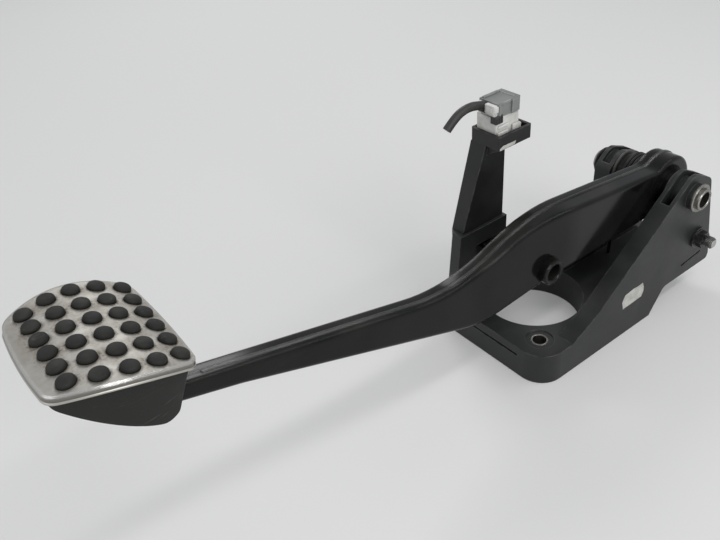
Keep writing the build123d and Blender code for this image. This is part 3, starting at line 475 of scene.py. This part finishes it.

# Return spring: a coil of spring wire round the hub tube, one leg under the arm's peg.
# It is phosphated black and oiled and darkened further as painted shade, like the pivot's far ring.
COIL_BLACK = (0.008, 0.008, 0.0084, 1)
COIL_GREY = (0.02, 0.0196, 0.0188, 1)
coil_tree, coil_shader = new_finish("phosphated spring wire", 0.44, 0.5)
blotch = use_group(coil_tree, grain, "Blotch", Broad=240.0)
colour = over(coil_tree, blotch, COIL_BLACK, COIL_GREY)
coil_tree.links.new(colour, coil_shader.inputs["Base Color"])
coil_tree.links.new(between(coil_tree, blotch, 0.36, 0.54), coil_shader.inputs["Roughness"])
raise_skin(coil_tree, coil_shader, use_group(coil_tree, grain, "Height"), 0.15, 0.0001)
# The far ring takes this near-black as painted shade, so it sinks into the dark of the far ear
dress(coil_tree, "return_spring", "far_retainer")

# Rubber pad: a moulded block that grips the arm's plate, with thirty studs through its cover.
# It is matte, dusty and scuffed in pale slanting streaks.
RUBBER_BLACK = (0.009, 0.0093, 0.0082, 1)
RUBBER_GREY = (0.018, 0.0184, 0.0165, 1)
RUBBER_SCUFF = (0.1, 0.098, 0.09, 1)
RUBBER_GLOSS = 0.35
rubber_tree, rubber_shader = new_finish("pad rubber", 0.72)
rubber_shader.inputs["Specular IOR Level"].default_value = RUBBER_GLOSS
blotch = use_group(rubber_tree, grain, "Blotch", Broad=70.0)
lines = use_group(rubber_tree, scratches, "Lines", Scale=12.0, Amount=1.1, Across=0.1)
dust = use_group(rubber_tree, settled, "Dust", Amount=0.16, Patch=90.0)
colour = over(rubber_tree, blotch, RUBBER_BLACK, RUBBER_GREY)
colour = over(rubber_tree, lines, colour, RUBBER_SCUFF)
colour = over(rubber_tree, dust, colour, WORKSHOP_DUST)
rubber_tree.links.new(colour, rubber_shader.inputs["Base Color"])
rubber_tree.links.new(between(rubber_tree, blotch, 0.62, 0.82), rubber_shader.inputs["Roughness"])
skin = use_group(rubber_tree, grain, "Height", Fine=1100.0)
raise_skin(rubber_tree, rubber_shader, skin, 0.35, 0.0003)
dress(rubber_tree, "rubber_pad")

# The studs stand square to the domed face in five columns of six that follow the bowed sides
PAD_CENTRE = Vector((-0.2665, -0.0019, 0.1484))
PAD_TILT = math.radians(13.3)
PAD_ALONG = Vector((math.cos(PAD_TILT), 0, -math.sin(PAD_TILT)))
PAD_UP = Vector((math.sin(PAD_TILT), 0, math.cos(PAD_TILT)))
PAD_ACROSS = Vector((0, 1, 0))
DOME_RADIUS = 0.078
STUD_COLUMNS, STUD_ROWS = 5, 6
STUD_PITCH, ROW_PITCH = 0.0109, 0.0129
BOW_DEPTH, BOW_REACH = 0.011, 0.034
SIDE_BOW = BOW_DEPTH / BOW_REACH ** 2
WIDEST = 0.004
STUD_PROFILE = [
    (3.84, -0.5), (3.85, 0.8), (3.76, 1.25), (3.5, 1.72),
    (3.0, 2.1), (2.2, 2.36), (1.1, 2.5), (0.35, 2.53),
]
STUD_SIDES = 32
stud_points, stud_faces = [], []
for column in range(STUD_COLUMNS):
    reach = (column - (STUD_COLUMNS - 1) / 2) * STUD_PITCH
    lean = reach / DOME_RADIUS
    spread = ROW_PITCH - SIDE_BOW * (reach - WIDEST) ** 2 / ((STUD_ROWS - 1) / 2)
    outward = PAD_UP * math.cos(lean) + PAD_ALONG * math.sin(lean)
    forward = PAD_ALONG * math.cos(lean) - PAD_UP * math.sin(lean)
    for row in range(STUD_ROWS):
        foot = PAD_CENTRE - PAD_UP * DOME_RADIUS + outward * DOME_RADIUS
        foot = foot + PAD_ACROSS * ((row - (STUD_ROWS - 1) / 2) * spread)
        first = len(stud_points)
        for radius, height in STUD_PROFILE:
            for side in range(STUD_SIDES):
                angle = 2 * math.pi * side / STUD_SIDES
                around = forward * math.cos(angle) + PAD_ACROSS * math.sin(angle)
                stud_points.append(foot + around * (radius * MM) + outward * (height * MM))
        for ring in range(len(STUD_PROFILE) - 1):
            for side in range(STUD_SIDES):
                here = first + ring * STUD_SIDES + side
                beside = first + ring * STUD_SIDES + (side + 1) % STUD_SIDES
                stud_faces.append((here, beside, beside + STUD_SIDES, here + STUD_SIDES))
        top = first + (len(STUD_PROFILE) - 1) * STUD_SIDES
        stud_faces.append(tuple(range(top, top + STUD_SIDES)))
        stud_faces.append(tuple(range(first + STUD_SIDES - 1, first - 1, -1)))
stud_mesh = bpy.data.meshes.new("pad_studs")
stud_mesh.from_pydata(stud_points, [], stud_faces)
for polygon in stud_mesh.polygons:
    polygon.use_smooth = len(polygon.vertices) == 4
stud_mesh.materials.append(material_of(rubber_tree))
pad_studs = bpy.data.objects.new("pad_studs", stud_mesh)
bpy.context.scene.collection.objects.link(pad_studs)
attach(pad_studs, "pedal")

# Cover: a pressed stainless plate over the rubber, with a rolled rim and a hole for each stud.
# Its face is dulled by shoes with brown dirt round the studs; its polished rim carries a painted
# highlight.
COVER_STEEL = (0.48, 0.465, 0.43, 1)
COVER_DULL = (0.37, 0.35, 0.315, 1)
COVER_DIRT = (0.13, 0.085, 0.045, 1)
COVER_GRIME = (0.17, 0.13, 0.085, 1)
COVER_RIM_HIGHLIGHT = (0.8, 0.79, 0.77, 1)
COVER_WALL_SHADE = (0.2, 0.19, 0.17, 1)
RIM_SHINE = (0.2, 0.2, 0.2, 1)
DIRT_REACH, GRIME_REACH = 0.006, 0.012
cover_tree, cover_shader = new_finish("brushed stainless", 0.5, 1.0)
blotch = use_group(cover_tree, grain, "Blotch", Broad=110.0)
specks = use_group(cover_tree, grain, "Blotch", Broad=850.0)
brushed = use_group(cover_tree, scratches, "Lines", Scale=75.0, Amount=0.6)

# The rim and the wall below it are told from the face by how far they turn from the pad's normal
rounded_skin = use_group(cover_tree, soft_edge, "Normal", Radius=0.0022)
own_normal = add_node(
    cover_tree, "ShaderNodeVectorTransform", {0: rounded_skin},
    vector_type="NORMAL", convert_from="WORLD", convert_to="OBJECT",
).outputs[0]
upward = add_node(
    cover_tree, "ShaderNodeVectorMath", {0: own_normal, 1: PAD_UP}, operation="DOT_PRODUCT"
).outputs["Value"]
rim = ramp(cover_tree, upward, 0.86, 0.7)
wall = ramp(cover_tree, upward, 0.42, 0.15)

# Dirt is packed close to the studs, and grime lies in specks over the wider space between them
near_studs = ramp(cover_tree, openness(cover_tree, DIRT_REACH), 0.95, 0.5)
packed = calculate(cover_tree, "MULTIPLY", near_studs, between(cover_tree, specks, 0.15, 1.0))
speckled = ramp(cover_tree, packed, 0.12, 0.5)
dirt = calculate(cover_tree, "MULTIPLY", speckled, between(cover_tree, blotch, 0.3, 1.0))
sheltered = ramp(cover_tree, openness(cover_tree, GRIME_REACH), 0.99, 0.84)
scattered = calculate(cover_tree, "MULTIPLY", ramp(cover_tree, specks, 0.5, 0.85), sheltered)
grime = calculate(cover_tree, "MULTIPLY", scattered, between(cover_tree, blotch, 0.15, 1.0))

colour = over(cover_tree, blotch, COVER_STEEL, COVER_DULL)
colour = over(cover_tree, grime, colour, COVER_GRIME)
# Painted highlight on the rim, and painted shade as a dark band on the wall below it
colour = over(cover_tree, rim, colour, COVER_RIM_HIGHLIGHT)
colour = over(cover_tree, wall, colour, COVER_WALL_SHADE)
colour = over(cover_tree, dirt, colour, COVER_DIRT)
cover_tree.links.new(colour, cover_shader.inputs["Base Color"])
worn = over(cover_tree, rim, between(cover_tree, blotch, 0.52, 0.66), RIM_SHINE)
shine = calculate(cover_tree, "MAXIMUM", worn, dirt)
cover_tree.links.new(shine, cover_shader.inputs["Roughness"])
cover_tree.links.new(between(cover_tree, dirt, 0.8, 0.0), cover_shader.inputs["Metallic"])
raise_skin(cover_tree, cover_shader, brushed, 0.12, 0.0001, 0.002)
dress(cover_tree, "cover_plate")

# The rim's lower edge is rolled into a thin bead, which follows the plate's outline on its dome
RIM_HEIGHT = 0.0034
BEAD_RADIUS = 0.0007
BEAD_INSET = 0.0004
BEAD_STEEL = (0.5, 0.485, 0.45, 1)
cover_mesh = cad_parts["cover_plate"].data
cover_points = [vertex.co - PAD_CENTRE for vertex in cover_mesh.vertices]
flat_points = [Vector((point.dot(PAD_ALONG), point.dot(PAD_ACROSS))) for point in cover_points]
rim_line = [flat_points[index] for index in convex_hull_2d(flat_points)]
bead_curve = bpy.data.curves.new("cover_bead", "CURVE")
bead_curve.dimensions = "3D"
bead_curve.bevel_depth = BEAD_RADIUS
bead_curve.bevel_resolution = 3
bead_line = bead_curve.splines.new("POLY")
bead_line.points.add(len(rim_line) - 1)
for point, flat in zip(bead_line.points, rim_line):
    flat = flat * (1 - BEAD_INSET / flat.length)
    below_rim = math.sqrt((DOME_RADIUS - RIM_HEIGHT) ** 2 - flat.x ** 2)
    rise = below_rim - DOME_RADIUS + BEAD_RADIUS / 2
    point.co = (*(PAD_CENTRE + PAD_ALONG * flat.x + PAD_ACROSS * flat.y + PAD_UP * rise), 1)
bead_line.use_cyclic_u = True
bead_tree, bead_shader = new_finish("rim bead", 0.42, 1.0)
bead_shader.inputs["Base Color"].default_value = BEAD_STEEL
bead_curve.materials.append(material_of(bead_tree))
cover_bead = bpy.data.objects.new("cover_bead", bead_curve)
bpy.context.scene.collection.objects.link(cover_bead)
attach(cover_bead, "pedal")

# Side bolt: a black phosphated flange bolt with a bright cut end, and its nut inside the cheek.
# Its stud end has a rolled thread, made here as one running ridge.
BOLT_BLACK = (0.016, 0.016, 0.017, 1)
BOLT_GREY = (0.04, 0.04, 0.041, 1)
BOLT_BRIGHT = (0.42, 0.41, 0.39, 1)
BOLT_AXIS = (0.1015, 0.0442)
BOLT_END_Y = -0.0632
BRIGHT_FROM, BRIGHT_TO = 0.0005, 0.0001
THREAD_START_Y = -0.0571
THREAD_END_GAP = 0.0007
THREAD_PITCH = 0.00125
THREAD_RUN_OUT = 0.6
THREAD_ROOT = 0.00345
THREAD_DEPTH = 0.0006
THREAD_STEPS = 44
THREAD_SIDES = 28
bolt_tree, bolt_shader = new_finish("black phosphated steel", 0.42, 0.6)
blotch = use_group(bolt_tree, grain, "Blotch", Broad=320.0)
edges = use_group(bolt_tree, edge_rub, "Edge", Width=0.0007)
along_bolt = add_node(bolt_tree, "ShaderNodeSeparateXYZ", {0: own_place(bolt_tree)}).outputs["Y"]
cut_end = ramp(bolt_tree, along_bolt, BOLT_END_Y + BRIGHT_FROM, BOLT_END_Y + BRIGHT_TO)
colour = over(bolt_tree, blotch, BOLT_BLACK, BOLT_GREY)
colour = over(bolt_tree, edges, colour, BOLT_BRIGHT)
colour = over(bolt_tree, cut_end, colour, BOLT_BRIGHT)
bolt_tree.links.new(colour, bolt_shader.inputs["Base Color"])
bolt_tree.links.new(between(bolt_tree, blotch, 0.34, 0.52), bolt_shader.inputs["Roughness"])
raise_skin(bolt_tree, bolt_shader, use_group(bolt_tree, grain, "Height"), 0.2, 0.0001, 0.0004)
dress(bolt_tree, "side_bolt", "side_nut")
thread_points, thread_faces = [], []
thread_length = THREAD_START_Y - (BOLT_END_Y + THREAD_END_GAP)
for step in range(THREAD_STEPS + 1):
    down = thread_length * step / THREAD_STEPS
    left = thread_length - down
    run_out = min(1.0, down / THREAD_PITCH, left / (THREAD_RUN_OUT * THREAD_PITCH))
    for side in range(THREAD_SIDES):
        part_turn = side / THREAD_SIDES
        ridge = 1 - abs(2 * ((down / THREAD_PITCH + part_turn) % 1) - 1)
        radius = THREAD_ROOT + THREAD_DEPTH * ridge * run_out
        thread_points.append((
            BOLT_AXIS[0] + radius * math.cos(2 * math.pi * part_turn),
            THREAD_START_Y - down,
            BOLT_AXIS[1] + radius * math.sin(2 * math.pi * part_turn),
        ))
for step in range(THREAD_STEPS):
    for side in range(THREAD_SIDES):
        here = step * THREAD_SIDES + side
        beside = step * THREAD_SIDES + (side + 1) % THREAD_SIDES
        thread_faces.append((here, beside, beside + THREAD_SIDES, here + THREAD_SIDES))
thread_faces.append(tuple(range(THREAD_SIDES - 1, -1, -1)))
last_ring = THREAD_STEPS * THREAD_SIDES
thread_faces.append(tuple(range(last_ring, last_ring + THREAD_SIDES)))
thread_mesh = bpy.data.meshes.new("stud_thread")
thread_mesh.from_pydata(thread_points, [], thread_faces)
thread_mesh.materials.append(material_of(bolt_tree))
stud_thread = bpy.data.objects.new("stud_thread", thread_mesh)
bpy.context.scene.collection.objects.link(stud_thread)
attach(stud_thread, "bracket")

# Paper labels: two plain stickers, one on the near cheek and one on the tower's box, both torn.
# Off-white paper with a soft fibre, pale at the torn edges, stuck flat on the moulding.
PAPER_WHITE = (0.56, 0.56, 0.53, 1)
PAPER_SOILED = (0.4, 0.39, 0.36, 1)
PAPER_TORN = (0.66, 0.66, 0.64, 1)
PAPER_THICKNESS = 0.00014
TEAR_STEPS = 5
TEAR_DEPTH = 0.18
TEAR_ASIDE = 0.6
TEAR_WAVES = (7.3, 2.1, 19.0)
CHEEK_FACE_Y, BOX_FACE_Y = -50.6, 6.5
CHEEK_LABEL = [
    (46.0, 34.6), (47.6, 30.5), (48.0, 27.3), (46.4, 23.4), (36.8, 23.2),
    (28.0, 22.8), (26.1, 29.0), (28.1, 33.6), (36.8, 34.7), (41.0, 34.3),
]
BOX_LABEL = [
    (-25.8, 137.6), (-15.6, 137.3), (-16.3, 135.4),
    (-21.0, 135.3), (-28.4, 135.3), (-28.6, 136.3),
]
paper_tree, paper_shader = new_finish("torn paper", 0.86)
blotch = use_group(paper_tree, grain, "Blotch", Broad=170.0)
edges = use_group(paper_tree, edge_rub, "Edge", Width=0.0005, Break=900.0)
colour = over(paper_tree, blotch, PAPER_WHITE, PAPER_SOILED)
colour = over(paper_tree, edges, colour, PAPER_TORN)
paper_tree.links.new(colour, paper_shader.inputs["Base Color"])
paper_tree.links.new(between(paper_tree, blotch, 0.8, 0.93), paper_shader.inputs["Roughness"])
skin = use_group(paper_tree, grain, "Height", Fine=2600.0)
raise_skin(paper_tree, paper_shader, skin, 0.3, 0.0001, 0.0001)
for name, outline, face_y in (
    ("cheek_label", CHEEK_LABEL, CHEEK_FACE_Y), ("box_label", BOX_LABEL, BOX_FACE_Y),
):
    torn = []
    for index, (x, z) in enumerate(outline):
        next_x, next_z = outline[(index + 1) % len(outline)]
        for step in range(TEAR_STEPS):
            part = step / TEAR_STEPS
            wave = TEAR_WAVES[0] * (index + part) + TEAR_WAVES[1] * index * part
            tear = TEAR_DEPTH * math.sin(wave) * math.cos(TEAR_WAVES[2] * part)
            torn.append((
                x + (next_x - x) * part + tear * TEAR_ASIDE, z + (next_z - z) * part + tear
            ))
    count = len(torn)
    label_points = [(x * MM, face_y * MM, z * MM) for x, z in torn]
    label_points += [(x * MM, face_y * MM - PAPER_THICKNESS, z * MM) for x, z in torn]
    label_faces = [tuple(range(count)), tuple(range(2 * count - 1, count - 1, -1))]
    label_faces += [
        (i, i + count, (i + 1) % count + count, (i + 1) % count) for i in range(count)
    ]
    label_mesh = bpy.data.meshes.new(name)
    label_mesh.from_pydata(label_points, [], label_faces)
    label_mesh.materials.append(material_of(paper_tree))
    label = bpy.data.objects.new(name, label_mesh)
    bpy.context.scene.collection.objects.link(label)
    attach(label, "bracket")

# Floor, light and camera: a pale studio floor, four soft lamps and the photograph's viewpoint.
# The floor lies just under the bulkhead face, where the bracket stands.
FLOOR_PALE = (0.62, 0.62, 0.61, 1)
FLOOR_HALF = 4.0
FLOOR_GAP = 0.0004
FLOOR_LIFT = 0.12


def seen_directly(tree):
    """1 where the eye, a mirror or clear glass looks, and 0 for the light that reaches the part."""
    rays = add_node(tree, "ShaderNodeLightPath").outputs
    seen = rays["Is Camera Ray"]
    for ray in ("Is Glossy Ray", "Is Transmission Ray"):
        seen = calculate(tree, "MAXIMUM", seen, rays[ray])
    return seen


floor_z = cad_box[0].z - FLOOR_GAP
floor_mesh = bpy.data.meshes.new("floor")
floor_mesh.from_pydata(
    [
        (x * FLOOR_HALF, y * FLOOR_HALF, floor_z)
        for x, y in ((-1, -1), (1, -1), (1, 1), (-1, 1))
    ],
    [], [(0, 1, 2, 3)],
)
floor = bpy.data.objects.new("floor", floor_mesh)
bpy.context.scene.collection.objects.link(floor)
floor_tree, floor_shader = new_finish("pale floor", 0.85)
floor_shader.inputs["Base Color"].default_value = FLOOR_PALE
floor_shader.inputs["Emission Strength"].default_value = FLOOR_LIFT
glow = over(floor_tree, seen_directly(floor_tree), (0, 0, 0, 1), (1, 1, 1, 1))
floor_tree.links.new(glow, floor_shader.inputs["Emission Color"])
floor_mesh.materials.append(material_of(floor_tree))

SKY_COLOUR = (0.95, 0.97, 1.0, 1)
SKY_LIGHT = 0.4
SKY_SEEN = 0.5
scene = bpy.context.scene
scene.view_settings.view_transform = "Standard"
scene.world = bpy.data.worlds.new("studio")
scene.world.use_nodes = True
sky_tree = scene.world.node_tree
sky = sky_tree.nodes["Background"]
sky.inputs["Color"].default_value = SKY_COLOUR
sky_strength = between(sky_tree, seen_directly(sky_tree), SKY_LIGHT, SKY_SEEN)
sky_tree.links.new(sky_strength, sky.inputs["Strength"])

# Each lamp's place, its length and width, and its power; the strip draws the lines along the arm
LAMPS = {
    "key": ((-0.3, -1.3, 0.85), (0.7, 0.7), 9.0),
    "fill": ((-1.3, 0.25, 0.8), (0.9, 0.9), 3.0),
    "back": ((0.45, 1.2, 1.1), (0.6, 0.6), 6.0),
    "strip": ((0.2, -0.45, 1.0), (1.3, 0.1), 3.2),
}
middle = (cad_box[0] + cad_box[1]) / 2
for name, (place, (length, width), power) in LAMPS.items():
    lamp = bpy.data.lights.new(name, "AREA")
    lamp.shape = "RECTANGLE"
    lamp.size = length
    lamp.size_y = width
    lamp.energy = power
    holder = bpy.data.objects.new(name, lamp)
    away = (Vector(place) - middle).normalized()
    aside = (Vector((1, 0, 0)) - away * away.x).normalized()
    turn = Matrix((aside, away.cross(aside), away)).transposed()
    holder.matrix_world = Matrix.Translation(place) @ turn.to_4x4()
    scene.collection.objects.link(holder)

CAMERA_PLACE = (-0.3105, -0.2568, 0.3325)
CAMERA_RIGHT = (0.7909, -0.6067, -0.0799)
CAMERA_UP = (0.4074, 0.4245, 0.8086)
CAMERA_FORWARD = (0.4567, 0.6720, -0.5829)
CAMERA_LENS = 37.2
SENSOR_WIDTH = 36.0
NEAREST_SEEN = 0.01
camera_data = bpy.data.cameras.new("camera")
camera_data.sensor_width = SENSOR_WIDTH
camera_data.sensor_fit = "HORIZONTAL"
camera_data.lens = CAMERA_LENS
camera_data.clip_start = NEAREST_SEEN
camera = bpy.data.objects.new("camera", camera_data)
turn = Matrix((CAMERA_RIGHT, CAMERA_UP, [-value for value in CAMERA_FORWARD])).transposed()
camera.matrix_world = Matrix.Translation(CAMERA_PLACE) @ turn.to_4x4()
scene.collection.objects.link(camera)
scene.camera = camera
